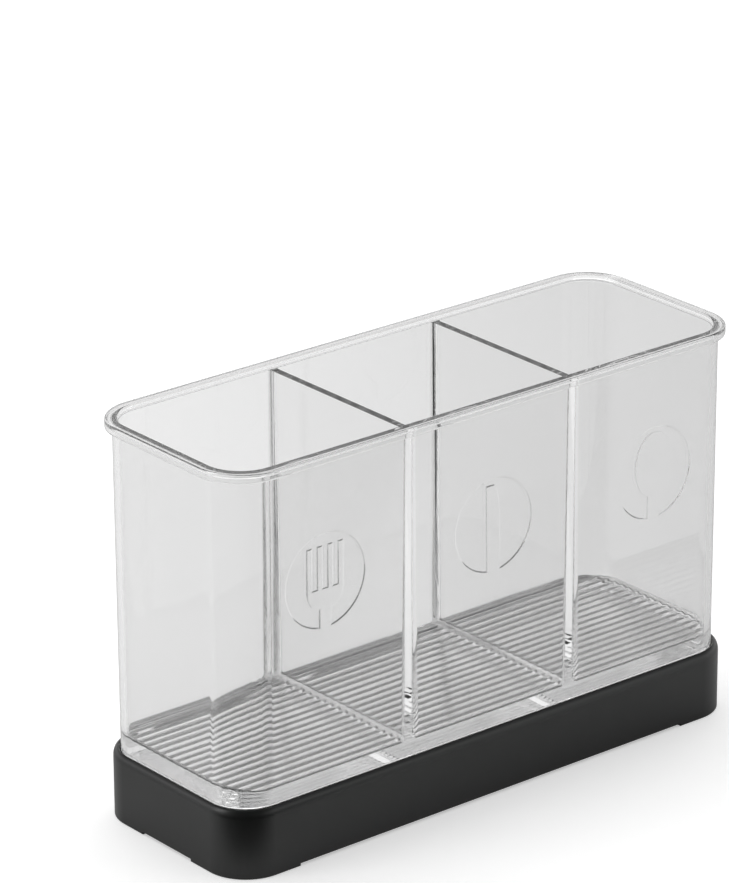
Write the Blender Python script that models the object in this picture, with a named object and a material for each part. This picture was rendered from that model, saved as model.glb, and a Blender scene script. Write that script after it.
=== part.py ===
"""Countertop cutlery caddy: a clear moulded bin with three compartments, standing in a black base.

Metres, +Z up. X runs along the long side, -Y is the front, and the origin is the middle of the
footprint, on the surface that the caddy stands on.
"""

import math

import bmesh
import bpy

# Clear bin, measured outside at its foot
BIN_LENGTH = 0.2098
BIN_DEPTH = 0.0713
BIN_HEIGHT = 0.1221
BIN_CORNER = 0.014
BIN_WALL = 0.0019
WALL_LEAN = 0.0003
FOOT_EDGE = 0.0006

# Rim round the bin's mouth, turned outwards and down, hollow underneath
RIM_OVERHANG = 0.0024
RIM_HEIGHT = 0.0032
RIM_THICKNESS = 0.0014
RIM_SKIRT = 0.001
RIM_ROUND = 0.0004
RIM_FILLET = 0.0006
MOUTH_ROUND = 0.0005
MOUTH_STEP = 0.0001

# Compartments, with the middle one's width as a share of its neighbours'. Dividers, as thick as this
# where they stand on the floor, and the floor itself
COMPARTMENTS = 3
MIDDLE_SHARE = 0.975
DIVIDER = 0.0032
DIVIDER_DROP = 0.00175
DIVIDER_FILLET = 0.0008
FLOOR_RISE = 0.0122
FLOOR_THICKNESS = 0.0052
FLOOR_FILLET = 0.0006

# Ribs moulded on the floor, along X
RIB_PITCH = 0.0038
RIB_WIDTH = 0.0024
RIB_HEIGHT = 0.0004
RIB_MARGIN = 0.0006
RIB_ROOT = 0.0003

# Round emblem sunk in the front of each compartment, with a utensil left standing in it
EMBLEM_RADIUS = 0.016
EMBLEM_DEPTH = 0.0003
EMBLEM_RISE = 0.0787

# Utensils, as shares of the emblem's radius
TINES = 4
FORK_HALF_SHARE = 0.456
TINE_SHARE = 0.125
FORK_LEVEL_SHARES = {"tips": 0.744, "slots": -0.169, "shoulder": -0.325, "neck": -0.575}
FORK_HANDLE_SHARE = 0.144
KNIFE_SHARES = ((-0.2, 0.869), (-0.006, 0.869), (0.07, 0.72), (0.13, 0.5), (0.165, 0.25), (0.17, 0))
SPOON_SHARES = {"level": 0.175, "half_width": 0.5125, "half_height": 0.719, "handle": 0.1625}

# Black base
SEAT_GAP = 0.0003
BASE_RIM = 0.0018
BASE_CORNER = 0.015
BASE_HEIGHT = 0.024
BASE_ROUND = 0.0018
RECESS_DEPTH = 0.008
DECK_THICKNESS = 0.0022
SKIRT_WALL = 0.0022
FOOT_HEIGHT = 0.001
FOOT_REACH = 0.025
UNDERSIDE_CORNER = 0.026
WEB_THICKNESS = 0.0016
WEB_RISE = 0.003

# Cutters run past what they cut, and joined pieces bite into what carries them
OVERRUN = 0.001
BITE = 0.0004

# Points on a quarter circle
CORNER_STEPS = 8
EDGE_STEPS = 4
RIB_STEPS = 4
EMBLEM_STEPS = 12

# Levels worked out from the sizes above
DECK_TOP = BASE_HEIGHT - RECESS_DEPTH
BIN_BOTTOM = DECK_TOP + SEAT_GAP
BIN_TOP = BIN_BOTTOM + BIN_HEIGHT
RIM_BOTTOM = BIN_TOP - RIM_HEIGHT
DIVIDER_TOP = BIN_TOP - DIVIDER_DROP
FLOOR_LEVEL = BIN_BOTTOM + FLOOR_RISE
EMBLEM_CENTRE = BIN_BOTTOM + EMBLEM_RISE


def outline(x0, x1, y0, y1, radii, z):
    """A rectangle with a quarter circle of its own at each corner, as a ring of points at height z."""
    centres = (
        (x1 - radii[0], y1 - radii[0]),
        (x0 + radii[1], y1 - radii[1]),
        (x0 + radii[2], y0 + radii[2]),
        (x1 - radii[3], y0 + radii[3]),
    )
    ring = []
    for corner, (cx, cy) in enumerate(centres):
        for step in range(CORNER_STEPS + 1):
            angle = math.pi / 2 * (corner + step / CORNER_STEPS)
            ring.append((cx + radii[corner] * math.cos(angle), cy + radii[corner] * math.sin(angle), z))
    return ring


def centred(length, depth, corner, grow, z):
    """An outline round the origin, moved outwards by grow all the way round."""
    half_x = length / 2 + grow
    half_y = depth / 2 + grow
    return outline(-half_x, half_x, -half_y, half_y, (corner + grow,) * 4, z)


def lean_at(z):
    """How far the bin's walls have moved outwards at height z."""
    return WALL_LEAN * (z - BIN_BOTTOM) / (BIN_TOP - BIN_BOTTOM)


def new_object(name, mesh_data):
    """An object at the origin with the geometry of mesh_data, faces pointing outwards."""
    bmesh.ops.recalc_face_normals(mesh_data, faces=mesh_data.faces)
    mesh = bpy.data.meshes.new(name)
    mesh_data.to_mesh(mesh)
    mesh_data.free()
    obj = bpy.data.objects.new(name, mesh)
    bpy.context.scene.collection.objects.link(obj)
    return obj


def add_loft(mesh_data, rings):
    """Adds one closed body: rings of equal length bridged in order, with both ends capped."""
    loops = [[mesh_data.verts.new(point) for point in ring] for ring in rings]
    for lower, upper in zip(loops, loops[1:]):
        for i in range(len(lower)):
            j = (i + 1) % len(lower)
            mesh_data.faces.new((lower[i], lower[j], upper[j], upper[i]))
    mesh_data.faces.new(list(reversed(loops[0])))
    mesh_data.faces.new(loops[-1])


def loft(name, rings):
    mesh_data = bmesh.new()
    add_loft(mesh_data, rings)
    return new_object(name, mesh_data)


def add_box(mesh_data, x0, x1, y0, y1, z0, z1):
    """Adds a closed box between two opposite corners."""
    low = [(x1, y1, z0), (x0, y1, z0), (x0, y0, z0), (x1, y0, z0)]
    add_loft(mesh_data, [low, [(x, y, z1) for x, y, _ in low]])


def as_tool(obj):
    """Hides an object that only cuts or joins another."""
    obj.hide_render = True
    obj.display_type = "WIRE"
    return obj


def boolean(target, tool, operation):
    modifier = target.modifiers.new(f"{operation.lower()}_{tool.name}", "BOOLEAN")
    modifier.operation = operation
    modifier.solver = "EXACT"
    modifier.object = as_tool(tool)


def quarter(steps, start):
    """Angles of a quarter circle from start, both ends included."""
    return [start + math.pi / 2 * step / steps for step in range(steps + 1)]


def bin_shell():
    """The bin's outside: foot, leaning wall, and the rim that turns outwards and down."""
    wall = lean_at(RIM_BOTTOM)
    hollow_top = BIN_TOP - RIM_THICKNESS
    low = RIM_BOTTOM + RIM_ROUND
    skirt_in = wall + RIM_OVERHANG - RIM_SKIRT + RIM_ROUND
    skirt_out = wall + RIM_OVERHANG - RIM_ROUND
    profile = [(-FOOT_EDGE, BIN_BOTTOM), (0, BIN_BOTTOM + FOOT_EDGE)]
    for angle in quarter(EDGE_STEPS, 0):
        out = RIM_FILLET * (1 - math.cos(angle))
        drop = RIM_FILLET * (1 - math.sin(angle))
        profile.append((wall + out, hollow_top - drop))
    profile.append((skirt_in - RIM_ROUND, hollow_top))
    for centre, height, start in (
        (skirt_in, low, math.pi),
        (skirt_out, low, -math.pi / 2),
        (skirt_out, BIN_TOP - RIM_ROUND, 0),
    ):
        for angle in quarter(EDGE_STEPS, start):
            profile.append((centre + RIM_ROUND * math.cos(angle), height + RIM_ROUND * math.sin(angle)))
    return loft("clear_bin", [centred(BIN_LENGTH, BIN_DEPTH, BIN_CORNER, grow, z) for grow, z in profile])


def compartment_spans():
    """Each compartment's ends along X at the foot, with a full divider between neighbours."""
    shares = [1] + [MIDDLE_SHARE] * (COMPARTMENTS - 2) + [1]
    free = BIN_LENGTH - 2 * BIN_WALL - (COMPARTMENTS - 1) * DIVIDER
    left = BIN_WALL - BIN_LENGTH / 2
    spans = []
    for share in shares:
        right = left + free * share / sum(shares)
        spans.append((left, right))
        left = right + DIVIDER
    return spans


def divider_places():
    """The middle of each divider along X."""
    spans = compartment_spans()
    return [(left[1] + right[0]) / 2 for left, right in zip(spans, spans[1:])]


def pocket_radii(index):
    """Corner radii of a compartment: large at the bin's corners, a small fillet beside a divider."""
    large = BIN_CORNER - BIN_WALL
    right = large if index == COMPARTMENTS - 1 else DIVIDER_FILLET
    left = large if index == 0 else DIVIDER_FILLET
    return (right, left, left, right)


def pocket_ring(index, grow, z):
    """A compartment's outline at height z. It widens upwards, so that the bin leaves its mould."""
    x0, x1 = compartment_spans()[index]
    out = lean_at(z) + grow
    half_y = BIN_DEPTH / 2 - BIN_WALL + out
    return outline(x0 - out, x1 + out, -half_y, half_y, [radius + out for radius in pocket_radii(index)], z)


def pocket_tool(index):
    """The hollow of one compartment, from a fillet at its floor to past the dividers' tops."""
    rings = []
    for angle in quarter(EDGE_STEPS, -math.pi / 2):
        grow = FLOOR_FILLET * (math.cos(angle) - 1)
        rings.append(pocket_ring(index, grow, FLOOR_LEVEL + FLOOR_FILLET * (1 + math.sin(angle))))
    rings.append(pocket_ring(index, 0, DIVIDER_TOP + OVERRUN))
    return loft(f"pocket_{index + 1}", rings)


def mouth_ring(grow, z):
    """The mouth's outline at height z, a small step wider than the compartments under it."""
    inside = MOUTH_STEP - BIN_WALL + lean_at(z)
    return centred(BIN_LENGTH, BIN_DEPTH, BIN_CORNER, inside + grow, z)


def mouth_tool():
    """The bin's mouth above the dividers' tops, in one piece, with its edge rounded."""
    rings = [mouth_ring(0, DIVIDER_TOP)]
    for angle in quarter(EDGE_STEPS, 0):
        grow = MOUTH_ROUND * (1 - math.cos(angle))
        rings.append(mouth_ring(grow, BIN_TOP - MOUTH_ROUND * (1 - math.sin(angle))))
    rings.append(mouth_ring(MOUTH_ROUND, BIN_TOP + OVERRUN))
    return loft("mouth", rings)


def foot_hollow_tool():
    """The hollow under the bin's floor, inside its foot."""
    levels = (BIN_BOTTOM - OVERRUN, FLOOR_LEVEL - FLOOR_THICKNESS)
    return loft("foot_hollow", [centred(BIN_LENGTH, BIN_DEPTH, BIN_CORNER, -BIN_WALL, z) for z in levels])


def rib_span(index, y):
    """Ends of the rib at y, which stop short of the compartment's wall and follow its round corners."""
    x0, x1 = compartment_spans()[index]
    radii = pocket_radii(index)
    margin = RIB_MARGIN + FLOOR_FILLET
    ends = []
    for radius in (radii[1], radii[0]):
        inner = max(radius - margin, 0)
        past = abs(y) + RIB_WIDTH / 2 - (BIN_DEPTH / 2 - BIN_WALL - margin - inner)
        past = min(max(past, 0), inner)
        ends.append(margin + inner - math.sqrt(inner * inner - past * past))
    return x0 + ends[0], x1 - ends[1]


def rib_tool():
    """Low half-round ribs along X, on the floor of every compartment."""
    reach = BIN_DEPTH / 2 - BIN_WALL - FLOOR_FILLET - RIB_MARGIN - RIB_WIDTH / 2
    side = int(reach / RIB_PITCH)
    section = [(-RIB_WIDTH / 2, -RIB_ROOT)]
    for step in range(2 * RIB_STEPS + 1):
        angle = math.pi * (1 - step / (2 * RIB_STEPS))
        section.append((RIB_WIDTH / 2 * math.cos(angle), RIB_HEIGHT * math.sin(angle)))
    section.append((RIB_WIDTH / 2, -RIB_ROOT))
    mesh_data = bmesh.new()
    for index in range(COMPARTMENTS):
        for row in range(-side, side + 1):
            y = row * RIB_PITCH
            add_loft(
                mesh_data,
                [[(x, y + across, FLOOR_LEVEL + up) for across, up in section] for x in rib_span(index, y)],
            )
    return new_object("floor_ribs", mesh_data)


def fork():
    """A fork's outline, from the lower end of its handle round its tines and back."""
    half = FORK_HALF_SHARE
    tine = TINE_SHARE
    gap = (2 * half - TINES * tine) / (TINES - 1)
    levels = FORK_LEVEL_SHARES
    handle = FORK_HANDLE_SHARE
    points = [(-handle, None), (-handle, levels["neck"]), (-half, levels["shoulder"])]
    for i in range(TINES):
        left = -half + i * (tine + gap)
        if i:
            points.append((left, levels["slots"]))
        points += [(left, levels["tips"]), (left + tine, levels["tips"])]
        if i < TINES - 1:
            points.append((left + tine, levels["slots"]))
    return points + [(half, levels["shoulder"]), (handle, levels["neck"]), (handle, None)]


def knife():
    """A table knife's outline: straight back on the left, curved edge on the right."""
    back = KNIFE_SHARES[0][0]
    edge = KNIFE_SHARES[-1][0]
    return [(back, None), *KNIFE_SHARES, (edge, None)]


def spoon():
    """A spoon's outline: an oval bowl on a straight handle."""
    sizes = SPOON_SHARES
    start = math.asin(sizes["handle"] / sizes["half_width"])
    points = [(-sizes["handle"], None)]
    for step in range(2 * EMBLEM_STEPS + 1):
        angle = math.pi + start + 2 * (math.pi - start) * step / (2 * EMBLEM_STEPS)
        up = sizes["level"] + sizes["half_height"] * math.cos(angle)
        points.append((sizes["half_width"] * math.sin(angle), up))
    return points + [(sizes["handle"], None)]


def add_plate(mesh_data, points, centre_x, near_y, far_y):
    """Adds a closed plate of this outline, points (x, z) round an emblem's centre, between two depths."""
    add_loft(mesh_data, [[(centre_x + x, y, EMBLEM_CENTRE + z) for x, z in points] for y in (near_y, far_y)])


def emblem_tool():
    """What the emblems' discs take out of the front, each without its utensil."""
    wall_y = -BIN_DEPTH / 2 - lean_at(EMBLEM_CENTRE)
    low_end = -EMBLEM_RADIUS - OVERRUN
    circle = []
    for step in range(4 * EMBLEM_STEPS):
        angle = math.pi / 2 * step / EMBLEM_STEPS
        circle.append((EMBLEM_RADIUS * math.cos(angle), EMBLEM_RADIUS * math.sin(angle)))
    discs = bmesh.new()
    utensils = bmesh.new()
    for span, shape in zip(compartment_spans(), (fork(), knife(), spoon())):
        place = sum(span) / 2
        add_plate(discs, circle, place, wall_y - OVERRUN, wall_y + EMBLEM_DEPTH)
        points = [(x * EMBLEM_RADIUS, low_end if z is None else z * EMBLEM_RADIUS) for x, z in shape]
        add_plate(utensils, points, place, wall_y - 2 * OVERRUN, wall_y + EMBLEM_DEPTH + OVERRUN)
    emblems = new_object("emblems", discs)
    boolean(emblems, new_object("utensils", utensils), "DIFFERENCE")
    return emblems


def base_outline(grow, z):
    """The base's outline, which follows the bin's foot at the seat gap and the base's own rim."""
    edge = SEAT_GAP + BASE_RIM
    half_x = BIN_LENGTH / 2 + edge + grow
    half_y = BIN_DEPTH / 2 + edge + grow
    return outline(-half_x, half_x, -half_y, half_y, (BASE_CORNER + grow,) * 4, z)


def base_block():
    """The base's outside, with its top edge rounded."""
    rings = [base_outline(0, 0)]
    for angle in quarter(EDGE_STEPS, 0):
        inset = BASE_ROUND * (math.cos(angle) - 1)
        rings.append(base_outline(inset, BASE_HEIGHT - BASE_ROUND * (1 - math.sin(angle))))
    return loft("base_tray", rings)


def recess_tool():
    """The recess that the bin's foot stands in."""
    levels = (DECK_TOP, BASE_HEIGHT + OVERRUN)
    return loft("recess", [centred(BIN_LENGTH, BIN_DEPTH, BIN_CORNER, SEAT_GAP, z) for z in levels])


def underside_tool():
    """The hollow below the deck, open downwards. Its corners are left thick, for the base to stand on."""
    half_x = BIN_LENGTH / 2 + SEAT_GAP + BASE_RIM - SKIRT_WALL
    half_y = BIN_DEPTH / 2 + SEAT_GAP + BASE_RIM - SKIRT_WALL
    radii = (UNDERSIDE_CORNER,) * 4
    levels = (-OVERRUN, DECK_TOP - DECK_THICKNESS)
    return loft("underside", [outline(-half_x, half_x, -half_y, half_y, radii, z) for z in levels])


def web_tool():
    """Stiffening webs under the deck: one along X and one below each divider."""
    half_x = BIN_LENGTH / 2 + SEAT_GAP + BASE_RIM - SKIRT_WALL + BITE
    half_y = BIN_DEPTH / 2 + SEAT_GAP + BASE_RIM - SKIRT_WALL + BITE
    low = FOOT_HEIGHT + WEB_RISE
    high = DECK_TOP - DECK_THICKNESS + BITE
    half_web = WEB_THICKNESS / 2
    tools = []
    mesh_data = bmesh.new()
    for place in divider_places():
        add_box(mesh_data, place - half_web, place + half_web, -half_y, half_y, low, high)
    tools.append(new_object("cross_webs", mesh_data))
    mesh_data = bmesh.new()
    add_box(mesh_data, -half_x, half_x, -half_web, half_web, low, high)
    tools.append(new_object("long_web", mesh_data))
    return tools


def relief_tool():
    """Lifts the base's lower edge between its four corner feet."""
    half_x = BIN_LENGTH / 2 + SEAT_GAP + BASE_RIM
    half_y = BIN_DEPTH / 2 + SEAT_GAP + BASE_RIM
    tools = []
    for name, x, y in (
        ("relief_long", half_x - FOOT_REACH, half_y + OVERRUN),
        ("relief_short", half_x + OVERRUN, half_y - FOOT_REACH),
    ):
        mesh_data = bmesh.new()
        add_box(mesh_data, -x, x, -y, y, -OVERRUN, FOOT_HEIGHT)
        tools.append(new_object(name, mesh_data))
    return tools


def plastic(name, colour, roughness, transmission, ior):
    """A moulded plastic."""
    material = bpy.data.materials.new(name)
    material.use_nodes = True
    shader = material.node_tree.nodes["Principled BSDF"]
    shader.inputs["Base Color"].default_value = (*colour, 1)
    shader.inputs["Metallic"].default_value = 0
    shader.inputs["Roughness"].default_value = roughness
    shader.inputs["Transmission Weight"].default_value = transmission
    shader.inputs["IOR"].default_value = ior
    material.diffuse_color = (*colour, 1)
    return material


def finish(obj, material):
    """Gives the object its material and smooth shading on its round stretches."""
    obj.data.materials.append(material)
    obj.data.shade_smooth()
    obj.data.set_sharp_from_angle(angle=math.radians(30))


def build_bin():
    shell = bin_shell()
    for index in range(COMPARTMENTS):
        boolean(shell, pocket_tool(index), "DIFFERENCE")
    boolean(shell, mouth_tool(), "DIFFERENCE")
    boolean(shell, foot_hollow_tool(), "DIFFERENCE")
    boolean(shell, rib_tool(), "UNION")
    boolean(shell, emblem_tool(), "DIFFERENCE")
    finish(shell, plastic("clear_plastic", (0.88, 0.9, 0.9), 0.04, 1.0, 1.58))


def build_base():
    base = base_block()
    boolean(base, recess_tool(), "DIFFERENCE")
    boolean(base, underside_tool(), "DIFFERENCE")
    for tool in web_tool():
        boolean(base, tool, "UNION")
    for tool in relief_tool():
        boolean(base, tool, "DIFFERENCE")
    finish(base, plastic("black_plastic", (0.03, 0.032, 0.031), 0.55, 0.0, 1.5))


def main():
    for obj in list(bpy.data.objects):
        bpy.data.objects.remove(obj, do_unlink=True)
    build_bin()
    build_base()


main()
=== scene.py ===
import math

import bpy
import numpy as np
from mathutils import Matrix, Vector


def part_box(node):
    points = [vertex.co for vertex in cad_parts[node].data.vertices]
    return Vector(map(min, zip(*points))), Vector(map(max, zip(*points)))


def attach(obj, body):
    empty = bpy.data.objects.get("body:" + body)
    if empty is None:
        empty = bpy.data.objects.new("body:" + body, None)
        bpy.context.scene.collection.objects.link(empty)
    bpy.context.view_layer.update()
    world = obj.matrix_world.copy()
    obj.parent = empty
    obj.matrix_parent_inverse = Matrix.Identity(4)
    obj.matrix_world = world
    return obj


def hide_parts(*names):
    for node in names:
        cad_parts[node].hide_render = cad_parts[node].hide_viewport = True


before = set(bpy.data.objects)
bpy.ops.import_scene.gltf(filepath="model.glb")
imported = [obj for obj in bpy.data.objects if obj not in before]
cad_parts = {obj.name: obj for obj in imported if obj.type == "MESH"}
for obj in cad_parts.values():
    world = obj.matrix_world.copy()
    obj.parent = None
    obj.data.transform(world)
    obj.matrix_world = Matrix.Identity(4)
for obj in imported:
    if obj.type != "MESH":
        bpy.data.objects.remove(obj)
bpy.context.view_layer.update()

MM = 0.001

# The bin and the base stay where their solids are. Sizes are in millimetres, as in the CAD.
BIN_LOW, BIN_HIGH = (np.array(corner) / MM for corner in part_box("clear_bin"))
BASE_HIGH = np.array(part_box("base_tray"))[1] / MM
FOOT, TOP = BIN_LOW[2], BIN_HIGH[2]
RIM_HEIGHT, RIM_OVERHANG, RIM_THICKNESS, RIM_SKIRT = 3.2, 2.4, 1.4, 1.0
RIM_ROUND, RIM_FILLET, RIM_HOLLOW_ROUND, FOOT_ROUND = 0.7, 0.6, 0.3, 0.6
MOUTH_ROUND, MOUTH_STEP = 0.8, 0.1
WALL, WALL_LEAN, CORNER = 1.9, 0.3, 14.0
MIDDLE_SHARE, DIVIDER, DIVIDER_DROP = 0.975, 3.2, 1.75
FLOOR, FLOOR_UNDER, FLOOR_FILLET, UNDER_FILLET = 28.5, 23.3, 0.6, 1.0
# The fillets between the dividers and the walls grow from the dividers' tops down to the floor.
FILLET_HIGH, FILLET_LOW = 0.8, 2.0
RIB_PITCH, RIB_HEIGHT, RIB_START, RIB_DEPTH = 3.8, 0.4, 0.1, 0.8
# The floor's curve up each kind of wall: its width, its height and how far the ribs take to rise to full height.
FRONT_CURVE, DIVIDER_CURVE, END_CURVE = (0.6, 0.6, 1.4), (2.0, 2.0, 0.8), (3.0, 2.5, 2.2)
EMBLEM_RADIUS, EMBLEM_LEVEL, MITRE_LIMIT = 16.0, 95.0, 0.3
# The emblem's edge, from its sunk level outwards: how far each ring has grown past the recess's outline, and how far
# it lies in front of the wall's outer face.
EMBLEM_RAMP = [[-0.32, -0.24], [-0.22, -0.23], [-0.12, -0.19], [-0.02, -0.13], [0.08, -0.075], [0.16, -0.035],
               [0.22, -0.01], [0.27, 0.01], [0.27, 0.5]]
BASE_CORNER, SKIRT_WALL, DECK_UNDER, UNDERSIDE_CORNER = 15.0, 2.2, 13.8, 26.0
SEAT_GAP, DECK, DECK_FILLET, LOW_ROUND = 0.3, 16.0, 0.8, 0.3
EDGE_WIDE, EDGE_TALL, EDGE_INNER = 1.8, 3.2, 0.8
FOOT_HEIGHT, FOOT_REACH, WEB, WEB_LOW = 1.0, 25.0, 1.6, 4.0
# How far joined shapes reach into each other, how far cutters go past what they cut, and a hair's breadth that
# keeps faces from lying in one plane.
BITE, WEB_BITE, PAST, HAIR = 0.15, 0.4, 1.0, 0.01
# Steps in a quarter turn: of the outline's corners, of the floor's curves and of the floor's round corners.
CORNER_STEPS, CURVE_STEPS, FLOOR_CORNER_STEPS = 20, 12, 24
# The floor's grid: columns between the curve and the middle, the inset and number of the middle's columns, and rows
# in half of the floor's depth.
NEAR_COLUMNS, MIDDLE_INSET, MIDDLE_COLUMNS, HALF_ROWS = (4, 13, 11), 17, 5, 98


def lean(z):
    """How far the walls have moved outwards at height z, in proportion to the height above the bin's foot."""
    return WALL_LEAN * (z - FOOT) / (TOP - FOOT)


HALF_X, HALF_Y = (BIN_HIGH[axis] - RIM_OVERHANG - lean(TOP - RIM_HEIGHT) for axis in (0, 1))


def outline(x0, x1, y0, y1, radii, z):
    """Ring of points: corner centre plus radius times (cos, sin) of the angle, over four quarter turns."""
    radii = np.asarray(radii, float)
    inward = np.array([[-1, -1], [1, -1], [1, 1], [-1, 1]])
    centres = np.array([[x1, y1], [x0, y1], [x0, y0], [x1, y0]]) + radii[:, None] * inward
    angle = np.pi / 2 * (np.arange(4)[:, None] + np.linspace(0, 1, CORNER_STEPS + 1))
    turn = np.stack([np.cos(angle), np.sin(angle)], -1)
    flat = (centres[:, None] + radii[:, None, None] * turn).reshape(-1, 2)
    return np.column_stack([flat, np.full(len(flat), z)])


def ring(half_x, half_y, corner, grow, z):
    """The outline of a rectangle round the origin, moved outwards by grow."""
    return outline(-half_x - grow, half_x + grow, -half_y - grow, half_y + grow, (corner + grow,) * 4, z)


def arc(start, end, steps=8):
    """Cosines and sines of evenly spaced angles, given in degrees."""
    angle = np.radians(np.linspace(start, end, steps + 1))
    return np.column_stack([np.cos(angle), np.sin(angle)])


def solid(name, rings):
    """Closed mesh: equal rings joined by quads in order, with a flat cap on the first and the last."""
    rings = np.asarray(rings, float) * MM
    count, around = rings.shape[:2]
    index = np.arange(count * around).reshape(count, around)
    low, high = index[:-1], index[1:]
    quads = np.stack([low, np.roll(low, -1, 1), np.roll(high, -1, 1), high], -1).reshape(-1, 4)
    return mesh_object(name, rings.reshape(-1, 3), [index[0][::-1].tolist(), *quads.tolist(), index[-1].tolist()])


def mesh_object(name, points, faces):
    mesh = bpy.data.meshes.new(name)
    mesh.from_pydata(points, [], faces)
    piece = bpy.data.objects.new(name, mesh)
    bpy.context.scene.collection.objects.link(piece)
    return piece


def combined(target, steps):
    """The target with each tool cut from it or joined to it in order, as one plain mesh."""
    for operation, tool in steps:
        modifier = target.modifiers.new(tool.name, "BOOLEAN")
        modifier.operation = operation
        modifier.solver = "EXACT"
        modifier.object = tool
    bpy.context.view_layer.update()
    target.data = bpy.data.meshes.new_from_object(target.evaluated_get(bpy.context.evaluated_depsgraph_get()))
    target.modifiers.clear()
    for _, tool in steps:
        bpy.data.objects.remove(tool)
    return target


def smooth(piece, degrees=28):
    """Round stretches shaded smooth. Each normal follows its largest face, so flat walls stay flat."""
    piece.data.shade_smooth()
    piece.data.set_sharp_from_angle(angle=np.radians(degrees))
    modifier = piece.modifiers.new("flat_walls", "WEIGHTED_NORMAL")
    modifier.mode = "FACE_AREA"
    modifier.weight = 100
    modifier.keep_sharp = True
    return piece


# Bin

def shell():
    """Foot, leaning wall, rim turned outwards and down: a profile of (outward, height) carried round the outline."""
    wall = lean(TOP - RIM_HEIGHT)
    edge = wall + RIM_OVERHANG
    hollow = TOP - RIM_THICKNESS
    skirt = RIM_SKIRT / 2
    foot = arc(-90, 0, 5) * FOOT_ROUND + [-FOOT_ROUND, FOOT + FOOT_ROUND]
    fillet = arc(180, 90, 6) * RIM_FILLET + [wall + RIM_FILLET, hollow - RIM_FILLET]
    inner = arc(90, 0, 4) * RIM_HOLLOW_ROUND + [edge - RIM_SKIRT - RIM_HOLLOW_ROUND, hollow - RIM_HOLLOW_ROUND]
    low = arc(-180, 0) * skirt + [edge - skirt, TOP - RIM_HEIGHT + skirt]
    high = arc(0, 90) * RIM_ROUND + [edge - RIM_ROUND, TOP - RIM_ROUND]
    profile = np.concatenate([foot, fillet, inner, low, high])
    return solid("bin_moulding", [ring(HALF_X, HALF_Y, CORNER, out, z) for out, z in profile])


def spans():
    """Ends of each compartment along X, between the end walls and the two dividers."""
    shares = np.array([1, MIDDLE_SHARE, 1])
    width = (2 * (HALF_X - WALL) - 2 * DIVIDER) * shares / shares.sum()
    right = WALL - HALF_X + np.cumsum(width) + np.arange(3) * DIVIDER
    return np.column_stack([right - width, right])


def dividers():
    return (spans()[:-1, 1] + spans()[1:, 0]) / 2


def pocket(index):
    """A compartment's hollow: floor fillet, walls that widen upwards, a small round at the dividers' tops. The
    fillets at the dividers grow in proportion to the depth below those tops."""
    x0, x1 = spans()[index]
    big = CORNER - WALL
    right = big if index == 2 else FILLET_HIGH
    left = big if index == 0 else FILLET_HIGH
    level = TOP - DIVIDER_DROP
    bottom = arc(-90, 0, 6) * FLOOR_FILLET + [-FLOOR_FILLET, FLOOR + FLOOR_FILLET]
    top = arc(180, 90, 4) * MOUTH_STEP + [MOUTH_STEP, level - MOUTH_STEP]
    rings = []
    for out, z in np.concatenate([bottom, top, [[MOUTH_STEP, level + 2 * HAIR]]]):
        out = out + lean(z)
        half_y = HALF_Y - WALL + out
        deep = np.clip((level - z) / (level - FLOOR), 0, 1)
        radii = np.array([right, left, left, right])
        radii = radii + out + np.where(radii < big, (FILLET_LOW - FILLET_HIGH) * deep, 0)
        rings.append(outline(x0 - out, x1 + out, -half_y, half_y, radii, z))
    return solid(f"hollow_{index}", rings)


def mouth():
    """The bin's mouth above the dividers' tops, its edge rounded by a quarter circle."""
    edge = arc(180, 90, 6) * MOUTH_ROUND + [MOUTH_ROUND, TOP - MOUTH_ROUND]
    profile = np.concatenate([[[0, TOP - DIVIDER_DROP]], edge, [[MOUTH_ROUND, TOP + PAST]]])
    profile[:, 0] += MOUTH_STEP + HAIR + lean(profile[:, 1])
    inside = (HALF_X - WALL, HALF_Y - WALL, CORNER - WALL)
    return solid("mouth", [ring(*inside, out, z) for out, z in profile])


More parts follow.
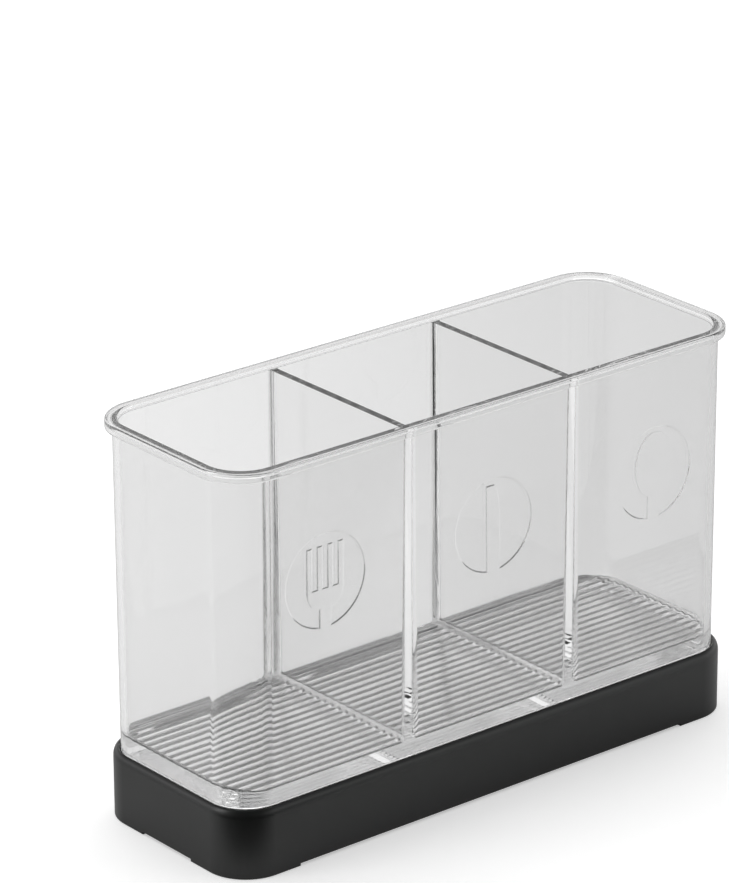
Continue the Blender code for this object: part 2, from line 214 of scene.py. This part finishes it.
def ribs(index):
    """Washboard floor: rib height times half of 1 plus the cosine across Y, on a quarter ellipse up every wall. The
    ellipse is larger at the short ends and the dividers, and passes from one size to the other round the corners.
    The grid is close on the curves and round the corners, and its rows are drawn together where the floor narrows."""
    x0, x1 = spans()[index] + [-BITE, BITE]
    half_y = HALF_Y - WALL + BITE
    wide, narrow = CORNER - WALL + BITE, FILLET_LOW + BITE
    left, right = (wide if index == 0 else narrow), (wide if index == 2 else narrow)
    steps = 1 - np.cos(np.linspace(0, np.pi / 2, CURVE_STEPS + 1))
    turn = 1 - np.cos(np.linspace(0, np.pi / 2, FLOOR_CORNER_STEPS + 1))
    curves = [BITE + END_CURVE[0] * steps, BITE + DIVIDER_CURVE[0] * steps]
    near = np.concatenate([[0], *curves, np.linspace(*NEAR_COLUMNS)])
    from_left = np.unique(np.round(np.concatenate([near, left * turn]), 4))
    from_right = np.unique(np.round(np.concatenate([near, right * turn]), 4))
    middle = np.linspace(x0 + MIDDLE_INSET, x1 - MIDDLE_INSET, MIDDLE_COLUMNS)
    x = np.concatenate([x0 + from_left, middle, (x1 - from_right)[::-1]])
    rows = np.linspace(BITE + FRONT_CURVE[0], half_y, HALF_ROWS)
    side = np.concatenate([[0], BITE + FRONT_CURVE[0] * steps, rows[1:]])
    side = np.concatenate([side - half_y, (half_y - side)[-2::-1]]) / half_y
    corner = np.where(x < (x0 + x1) / 2, left, right)[:, None]
    short = np.maximum(corner - np.minimum(x - x0, x1 - x)[:, None], 0)
    gy = side * (half_y - corner + np.sqrt(corner ** 2 - short ** 2))
    gx = np.broadcast_to(x[:, None], gy.shape)
    reach = np.hypot(short, np.maximum(corner - half_y + np.abs(gy), 0))
    slant = (short / np.maximum(reach, 1e-6)) ** 2
    width, rise, run = (front + (np.where(corner == wide, end, divider) - front) * slant
                        for front, divider, end in zip(FRONT_CURVE, DIVIDER_CURVE, END_CURVE))
    inside = corner - reach - BITE
    climb = 1 - np.sqrt(1 - (1 - np.clip(inside / width, 0, 1)) ** 2)
    fade = np.clip((inside - RIB_START) / run, 0, 1)
    wave = (1 + np.cos(2 * np.pi * gy / RIB_PITCH)) / 2
    top = FLOOR + rise * climb + RIB_HEIGHT * fade ** 2 * (3 - 2 * fade) * wave
    return sheet_block(f"ribs_{index}", np.stack([gx, gy, top + HAIR], -1), FLOOR - RIB_DEPTH)


def sheet_block(name, grid, under_level):
    """Closed block: a grid of points on top, the same grid's border dropped to a flat underside."""
    rows, columns = grid.shape[:2]
    index = np.arange(rows * columns).reshape(rows, columns)
    quads = np.stack([index[:-1, :-1], index[1:, :-1], index[1:, 1:], index[:-1, 1:]], -1).reshape(-1, 4)
    border = np.concatenate([index[:-1, 0], index[-1, :-1], index[:0:-1, -1], index[0, :0:-1]])
    below = grid.reshape(-1, 3)[border].copy()
    below[:, 2] = under_level
    under = rows * columns + np.arange(len(border))
    sides = np.stack([border, under, np.roll(under, -1), np.roll(border, -1)], -1)
    points = np.concatenate([grid.reshape(-1, 3), below]) * MM
    return mesh_object(name, points, [*quads.tolist(), *sides.tolist(), under[::-1].tolist()])


# Each utensil gives half its handle's width at the emblem's edge, and its outline round the emblem's centre, from
# the left side of the handle clockwise to the right.

def fork():
    """Half of a fork mirrored: handle, quarter ellipse to the head's side, tines of equal width."""
    half, side, pitch, tine, root, tip = 2.3, -7.3, 4.2, 2.0, -2.7, 11.9
    shoulder, level = [-5.0, -6.6], -3.0
    left = np.array([[-half, 0]]) + arc(90, 0, 8) * shoulder + [0, level]
    tines = []
    for i in range(4):
        x = side + pitch * i
        if i:
            tines.append([x, root])
        tines += [[x, tip], [x + tine, tip]]
        if i < 3:
            tines.append([x + tine, root])
    return half, np.concatenate([left, tines, left[::-1] * [-1, 1]])


def knife():
    """Straight back, square tip, edge that bulges as a quarter ellipse."""
    half, back, start, tip, bulge = 2.75, -3.1, -0.1, 13.9, [2.8, 14.0]
    edge = arc(90, 0, 10) * bulge + [start, 0]
    return half, np.concatenate([[[back, tip], [start, tip]], edge[1:]])


def spoon():
    """Bowl as an ellipse cut open where the handle starts."""
    half, wide, tall, lift = 2.6, 8.2, 11.5, 2.8
    start = np.degrees(np.arcsin(half / wide))
    return half, arc(270 - start, -90 + start, 40) * [wide, tall] + [0, lift]


def emblem(index, centre_x):
    """Recess round a utensil: one outline of the disc and the utensil, in rings that step down a small ramp. Each
    ring lies at an equal distance from the outline, along the middle of the two sides' normals at every point."""
    half, utensil = (fork, knife, spoon)[index]()
    gap = np.degrees(np.arcsin(half / EMBLEM_RADIUS))
    circle = arc(-90 + gap, 270 - gap, 96) * EMBLEM_RADIUS
    path = np.concatenate([circle, utensil])
    before = path - np.roll(path, 1, 0)
    after = np.roll(path, -1, 0) - path
    before = np.column_stack([before[:, 1], -before[:, 0]]) / np.hypot(*before.T)[:, None]
    after = np.column_stack([after[:, 1], -after[:, 0]]) / np.hypot(*after.T)[:, None]
    mitre = (before + after) / np.maximum(1 + (before * after).sum(1), MITRE_LIMIT)[:, None]
    rings = []
    for grow, out in EMBLEM_RAMP:
        x, z = (path + grow * mitre).T + [[centre_x], [EMBLEM_LEVEL]]
        rings.append(np.column_stack([x, -HALF_Y - lean(z) - out, z]))
    return solid(f"emblem_{index}", rings)


def foot_hollow():
    """The hollow under the floor, with a fillet where the foot's wall meets it."""
    top = arc(0, 90, 5) * UNDER_FILLET + [-UNDER_FILLET, FLOOR_UNDER - UNDER_FILLET]
    profile = np.concatenate([[[0, FOOT - PAST]], top])
    return solid("foot_hollow", [ring(HALF_X - WALL, HALF_Y - WALL, CORNER - WALL, out, z) for out, z in profile])


def bin_moulding():
    tools = [("DIFFERENCE", pocket(i)) for i in range(3)]
    tools += [("DIFFERENCE", mouth()), ("DIFFERENCE", foot_hollow())]
    tools += [("UNION", ribs(i)) for i in range(3)]
    tools += [("DIFFERENCE", emblem(i, spans()[i].mean())) for i in range(3)]
    return smooth(combined(shell(), tools))


# Base

def base_block():
    """Outside of the base, its top edge rounded by a quarter of an ellipse, taller than wide."""
    half = BASE_HIGH[:2]
    edge = arc(0, 90, 12) * [EDGE_WIDE, EDGE_TALL] + [-EDGE_WIDE, BASE_HIGH[2] - EDGE_TALL]
    low = arc(-90, 0, 3) * LOW_ROUND + [-LOW_ROUND, LOW_ROUND]
    profile = np.concatenate([low, edge])
    return solid("base_moulding", [ring(*half, BASE_CORNER, out, z) for out, z in profile])


def box(name, x0, x1, y0, y1, z0, z1):
    corners = np.array([[x1, y1], [x0, y1], [x0, y0], [x1, y0]], float)
    return solid(name, [np.column_stack([corners, np.full(4, z)]) for z in (z0, z1)])


def base_moulding():
    """The block with the bin's recess cut from above, and the underside cut from below round three webs and the
    openings between the feet."""
    half_x, half_y = BASE_HIGH[:2]
    rim = arc(180, 90, 6) * EDGE_INNER + [SEAT_GAP + EDGE_INNER, BASE_HIGH[2] - EDGE_INNER]
    floor = arc(-90, 0, 4) * DECK_FILLET + [SEAT_GAP - DECK_FILLET, DECK + DECK_FILLET]
    profile = np.concatenate([floor, rim, [[SEAT_GAP + EDGE_INNER, BASE_HIGH[2] + PAST]]])
    recess = solid("recess", [ring(HALF_X, HALF_Y, CORNER, out, z) for out, z in profile])
    top = arc(0, 90, 4) * DECK_FILLET + [-DECK_FILLET, DECK_UNDER - DECK_FILLET]
    inner = (half_x - SKIRT_WALL, half_y - SKIRT_WALL, UNDERSIDE_CORNER)
    under = solid("underside", [ring(*inner, out, z) for out, z in np.concatenate([[[0, -PAST]], top])])
    tools = [("DIFFERENCE", recess), ("DIFFERENCE", under)]
    reach_x, reach_y = half_x - SKIRT_WALL + WEB_BITE, half_y - SKIRT_WALL + WEB_BITE
    heights = (WEB_LOW, DECK_UNDER + WEB_BITE)
    for i, place in enumerate(dividers()):
        tools.append(("UNION", box(f"web_{i}", place - WEB / 2, place + WEB / 2, -reach_y, reach_y, *heights)))
    tools.append(("UNION", box("long_web", -reach_x, reach_x, -WEB / 2, WEB / 2, *heights)))
    long_x, short_y = half_x - FOOT_REACH, half_y - FOOT_REACH
    wide_x, wide_y, heights = half_x + PAST, half_y + PAST, (-PAST, FOOT_HEIGHT)
    tools.append(("DIFFERENCE", box("long_relief", -long_x, long_x, -wide_y, wide_y, *heights)))
    tools.append(("DIFFERENCE", box("short_relief", -wide_x, wide_x, -short_y, short_y, *heights)))
    return smooth(combined(base_block(), tools))


# Materials

def linear(code):
    """An sRGB hex colour as linear red, green, blue and alpha."""
    value = np.array([int(code[i:i + 2], 16) for i in (1, 3, 5)]) / 255
    return (*np.where(value <= 0.04045, value / 12.92, ((value + 0.055) / 1.055) ** 2.4), 1.0)


def node(tree, kind, inputs=(), **settings):
    """Adds a node with its properties. Each input is a value, or an output of another node, which is linked."""
    made = tree.nodes.new(kind)
    for key, value in settings.items():
        setattr(made, key, value)
    for key, value in dict(inputs).items():
        if isinstance(value, bpy.types.NodeSocket):
            tree.links.new(value, made.inputs[key])
        else:
            made.inputs[key].default_value = value
    return made


def material(name):
    made = bpy.data.materials.new(name)
    made.use_nodes = True
    made.node_tree.nodes.clear()
    return made, made.node_tree


def clear_styrene():
    """Clear moulded styrene plastic: colourless and glossy, with the faint waves, about 20 mm long, that a moulded
    wall has, and a trace of haze in patches of about 8 mm."""
    made, tree = material("clear_styrene")
    place = node(tree, "ShaderNodeTexCoord").outputs["Object"]
    waves = node(tree, "ShaderNodeTexNoise", {"Vector": place, "Scale": 45.0, "Detail": 1.0, "Roughness": 0.4})
    bump = node(tree, "ShaderNodeBump", {"Height": waves.outputs["Fac"], "Strength": 0.02, "Distance": 0.0005})
    haze = node(tree, "ShaderNodeTexNoise", {"Vector": place, "Scale": 120.0, "Detail": 3.0})
    rough = node(tree, "ShaderNodeMapRange", {"Value": haze.outputs["Fac"], "To Min": 0.0, "To Max": 0.02})
    shader = node(tree, "ShaderNodeBsdfPrincipled", {
        "Base Color": linear("#f8f8f8"), "Metallic": 0.0, "Roughness": rough.outputs["Result"], "IOR": 1.57,
        "Transmission Weight": 1.0, "Normal": bump.outputs["Normal"]})
    node(tree, "ShaderNodeOutputMaterial", {"Surface": shader.outputs["BSDF"]})
    return made


def matte_black():
    """Black polypropylene moulded in a finely eroded tool: soft wide sheen. The real grain, about 0.1 mm, is too fine
    to show, so it is drawn at about 0.6 mm. Tone and sheen change a little over about 17 mm."""
    made, tree = material("matte_black_polypropylene")
    place = node(tree, "ShaderNodeTexCoord").outputs["Object"]
    grain = node(tree, "ShaderNodeTexNoise", {"Vector": place, "Scale": 1800.0, "Detail": 2.0, "Roughness": 0.6})
    bump = node(tree, "ShaderNodeBump", {"Height": grain.outputs["Fac"], "Strength": 0.25, "Distance": 0.00004})
    cloud = node(tree, "ShaderNodeTexNoise", {"Vector": place, "Scale": 60.0, "Detail": 3.0})
    rough = node(tree, "ShaderNodeMapRange", {"Value": cloud.outputs["Fac"], "To Min": 0.33, "To Max": 0.38})
    colours = {6: linear("#121413"), 7: linear("#141615")}  # numbers of the Mix node's sockets A and B for colours
    tone = node(tree, "ShaderNodeMix", {"Factor": cloud.outputs["Fac"], **colours}, data_type="RGBA")
    shader = node(tree, "ShaderNodeBsdfPrincipled", {
        "Base Color": tone.outputs[2], "Metallic": 0.0, "Roughness": rough.outputs["Result"], "IOR": 1.65,
        "Normal": bump.outputs["Normal"]})
    node(tree, "ShaderNodeOutputMaterial", {"Surface": shader.outputs["BSDF"]})
    return made


def first_reflection(tree, path):
    """1 for a reflection that has passed through nothing clear, as on the base, otherwise 0."""
    free = node(tree, "ShaderNodeMath", {0: path.outputs["Transmission Depth"], 1: 0.5}, operation="LESS_THAN")
    return node(tree, "ShaderNodeMath", {0: free.outputs[0], 1: path.outputs["Is Glossy Ray"]},
                operation="MULTIPLY").outputs[0]


def unless(tree, rays, amount):
    """1, and for the given rays 1 less the amount."""
    part = node(tree, "ShaderNodeMath", {0: rays, 1: amount}, operation="MULTIPLY").outputs[0]
    return node(tree, "ShaderNodeMath", {0: 1.0, 1: part}, operation="SUBTRACT").outputs[0]


# Directions along the floor, from the middle to the front left corner and across to the right. They place the
# floor's painted light and painted dark reflections.
FRONT_LEFT, FRONT_RIGHT = (-0.63, -0.78, 0.0), (0.78, -0.63, 0.0)


def white_floor():
    """Pale matte floor. The camera sees it with some light of its own, which turns it white and keeps soft shadows.
    It glows a little more at the left in reflections and through clear pieces, painted light with a painted shadow of
    the bin to the right. In the base's own reflections its colour and glow are painted darker: painted shade at the
    back, and painted dark from about 0.1 m in front of the middle on. Its ranges are in metres."""
    made, tree = material("white_floor")
    path = node(tree, "ShaderNodeLightPath")
    place = node(tree, "ShaderNodeTexCoord").outputs["Object"]
    near = node(tree, "ShaderNodeVectorMath", {0: place, 1: FRONT_LEFT}, operation="DOT_PRODUCT")
    # Painted dark reflection: from about 0.1 m in front of the middle the floor turns dark in the base's reflections.
    painted_dark_front = node(tree, "ShaderNodeMapRange", {"Value": near.outputs["Value"], "From Min": 0.095, "From Max": 0.125},
                interpolation_type="SMOOTHSTEP")
    # Painted shade: in the base's reflections the floor is dimmer towards the back.
    back = node(tree, "ShaderNodeMapRange", {"Value": node(tree, "ShaderNodeSeparateXYZ", {0: place}).outputs["Y"],
                                             "From Min": -0.1, "From Max": 0.1, "To Min": 0.08, "To Max": 0.5})
    base_sees = first_reflection(tree, path)
    # Painted shade for the base's own reflections only: it darkens the floor's colour and its glow there.
    painted_reflection_shade = node(tree, "ShaderNodeMath", {0: unless(tree, base_sees, painted_dark_front.outputs["Result"]),
                                        1: unless(tree, base_sees, back.outputs["Result"])}, operation="MULTIPLY")
    # Painted light: in reflections and through clear pieces the floor glows more at the left, and less to the right
    # as a painted shadow of the bin.
    side = node(tree, "ShaderNodeVectorMath", {0: place, 1: FRONT_RIGHT}, operation="DOT_PRODUCT")
    side = node(tree, "ShaderNodeMapRange", {"Value": side.outputs["Value"], "From Min": -0.16, "From Max": 0.16,
                                             "To Min": 0.2, "To Max": 0.0}, interpolation_type="SMOOTHSTEP")
    # Only reflections and views through clear pieces get this painted glow.
    seen = node(tree, "ShaderNodeMath", {0: path.outputs["Is Glossy Ray"], 1: path.outputs["Is Transmission Ray"]},
                operation="MAXIMUM")
    seen = node(tree, "ShaderNodeMath", {0: seen.outputs[0], 1: side.outputs["Result"]}, operation="MULTIPLY")
    seen = node(tree, "ShaderNodeMath", {0: seen.outputs[0], 1: painted_reflection_shade.outputs[0]}, operation="MULTIPLY")
    # The camera's even white glow, plus the painted light in reflections and through clear pieces.
    seen = node(tree, "ShaderNodeMath", {0: path.outputs["Is Camera Ray"], 1: 0.45, 2: seen.outputs[0]},
                operation="MULTIPLY_ADD")
    # The floor's colour, painted darker in the base's reflections.
    colour = node(tree, "ShaderNodeVectorMath", {0: linear("#e6e6e6")[:3], "Scale": painted_reflection_shade.outputs[0]},
                  operation="SCALE")
    matte = node(tree, "ShaderNodeBsdfDiffuse", {"Color": colour.outputs[0]})
    glow = node(tree, "ShaderNodeEmission", {"Color": linear("#ffffff"), "Strength": seen.outputs[0]})
    both = node(tree, "ShaderNodeAddShader", {0: matte.outputs[0], 1: glow.outputs[0]})
    node(tree, "ShaderNodeOutputMaterial", {"Surface": both.outputs[0]})
    return made


def dress(piece, finish, body, cad_node):
    """Gives a piece its finish in its one material slot and its body, and hides the CAD solid that it stands for."""
    piece.data.materials.clear()
    piece.data.materials.append(finish)
    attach(piece, body)
    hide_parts(cad_node)


dress(bin_moulding(), clear_styrene(), "bin", "clear_bin")
dress(base_moulding(), matte_black(), "base", "base_tray")


# Stage, camera and light

FLOOR_REACH, FLOOR_DROP = 6, 0.0001
corners = np.array([[-1, -1, 0], [1, -1, 0], [1, 1, 0], [-1, 1, 0]])
floor = mesh_object("floor", corners * FLOOR_REACH - [0, 0, FLOOR_DROP], [[0, 1, 2, 3]])
floor.data.materials.append(white_floor())


# The camera's place is given in metres from a point at half the object's height: how far to the right, above and
# in front of it. The focal length is in pixels of a frame 883 pixels high.
MIDDLE = (0, 0, 0.07)
FRAME_HEIGHT, FOCAL_LENGTH, FILM_HEIGHT = 883, 5147.54, 36
CAMERA_RIGHT, CAMERA_UP, CAMERA_BACK = -0.01888, 0.03983, 1.68772


def camera():
    """Camera at the photo's angle: 39.2 degrees left of the front, 21.8 degrees above, with its slight roll."""
    azimuth, elevation, roll = (math.radians(angle) for angle in (39.2, 21.78, -0.33))
    ahead = math.cos(elevation)
    forward = Vector((math.sin(azimuth) * ahead, math.cos(azimuth) * ahead, -math.sin(elevation)))
    level = Vector((math.cos(azimuth), -math.sin(azimuth), 0))
    upright = level.cross(forward)
    right = level * math.cos(roll) + upright * math.sin(roll)
    up = upright * math.cos(roll) - level * math.sin(roll)
    data = bpy.data.cameras.new("camera")
    data.sensor_fit = "VERTICAL"
    data.sensor_height = FILM_HEIGHT
    data.lens = FOCAL_LENGTH / FRAME_HEIGHT * FILM_HEIGHT
    data.clip_start, data.clip_end = 0.05, 50
    made = bpy.data.objects.new("camera", data)
    place = Vector(MIDDLE) + right * CAMERA_RIGHT + up * CAMERA_UP - forward * CAMERA_BACK
    made.matrix_world = Matrix.Translation(place) @ Matrix((right, up, -forward)).transposed().to_4x4()
    bpy.context.scene.collection.objects.link(made)
    bpy.context.scene.camera = made


def lamp(name, place, size, power):
    """Rectangular lamp that points at the object's middle."""
    data = bpy.data.lights.new(name, "AREA")
    data.shape = "RECTANGLE"
    data.size, data.size_y = size
    data.energy = power
    made = bpy.data.objects.new(name, data)
    made.location = place
    made.rotation_euler = (Vector(MIDDLE) - Vector(place)).to_track_quat("-Z", "Y").to_euler()
    bpy.context.scene.collection.objects.link(made)
    return made


DIM_ROOM = (-0.6, -0.75, 0.28)


def studio():
    """Pale walls all round and a dim room at the front left, by direction in the world. The camera sees white, also
    straight through clear pieces. The base's own reflections show a dimmer sky high up."""
    world = bpy.data.worlds.new("studio")
    bpy.context.scene.world = world
    world.use_nodes = True
    tree = world.node_tree
    tree.nodes.clear()
    way = node(tree, "ShaderNodeTexCoord").outputs["Generated"]
    room = node(tree, "ShaderNodeVectorMath", {0: way, 1: DIM_ROOM}, operation="DOT_PRODUCT")
    fade = node(tree, "ShaderNodeMapRange", {"Value": room.outputs["Value"], "From Min": 0.2, "From Max": 0.9,
                                             "To Min": 1.0, "To Max": 0.1}, interpolation_type="SMOOTHSTEP")
    path = node(tree, "ShaderNodeLightPath")
    high = node(tree, "ShaderNodeSeparateXYZ", {0: way}).outputs["Z"]
    high = node(tree, "ShaderNodeMapRange", {"Value": high, "From Min": 0.15, "From Max": 0.55, "To Min": 0.0,
                                             "To Max": 0.75}, interpolation_type="SMOOTHSTEP")
    glow = node(tree, "ShaderNodeMath", {0: fade.outputs["Result"],
                                         1: unless(tree, first_reflection(tree, path), high.outputs["Result"])},
                operation="MULTIPLY")
    glow = node(tree, "ShaderNodeMath", {0: glow.outputs[0], 1: unless(tree, path.outputs["Is Diffuse Ray"], 0.2)},
                operation="MULTIPLY")
    straight = node(tree, "ShaderNodeMath", {0: path.outputs["Glossy Depth"], 1: 0.5}, operation="LESS_THAN")
    straight = node(tree, "ShaderNodeMath", {0: straight.outputs[0], 1: path.outputs["Is Transmission Ray"]},
                    operation="MULTIPLY")
    straight = node(tree, "ShaderNodeMath", {0: straight.outputs[0], 1: path.outputs["Is Camera Ray"]},
                    operation="MAXIMUM")
    glow = node(tree, "ShaderNodeMath", {0: glow.outputs[0], 1: straight.outputs[0]}, operation="MAXIMUM")
    glow = node(tree, "ShaderNodeBackground", {"Color": linear("#ffffff"), "Strength": glow.outputs[0]})
    node(tree, "ShaderNodeOutputWorld", {"Surface": glow.outputs[0]})


camera()
studio()
lamp("overhead", (0.1, 0.3, 1.6), (1.2, 1.2), 8).visible_glossy = False
lamp("left", (-1.6, 0.5, 0.9), (0.7, 0.9), 5)

scene = bpy.context.scene
scene.view_settings.view_transform = "Standard"
# Light passes many clear faces, in the dividers above all.
scene.cycles.max_bounces = scene.cycles.transmission_bounces = scene.cycles.glossy_bounces = 64
scene.cycles.diffuse_bounces = 3
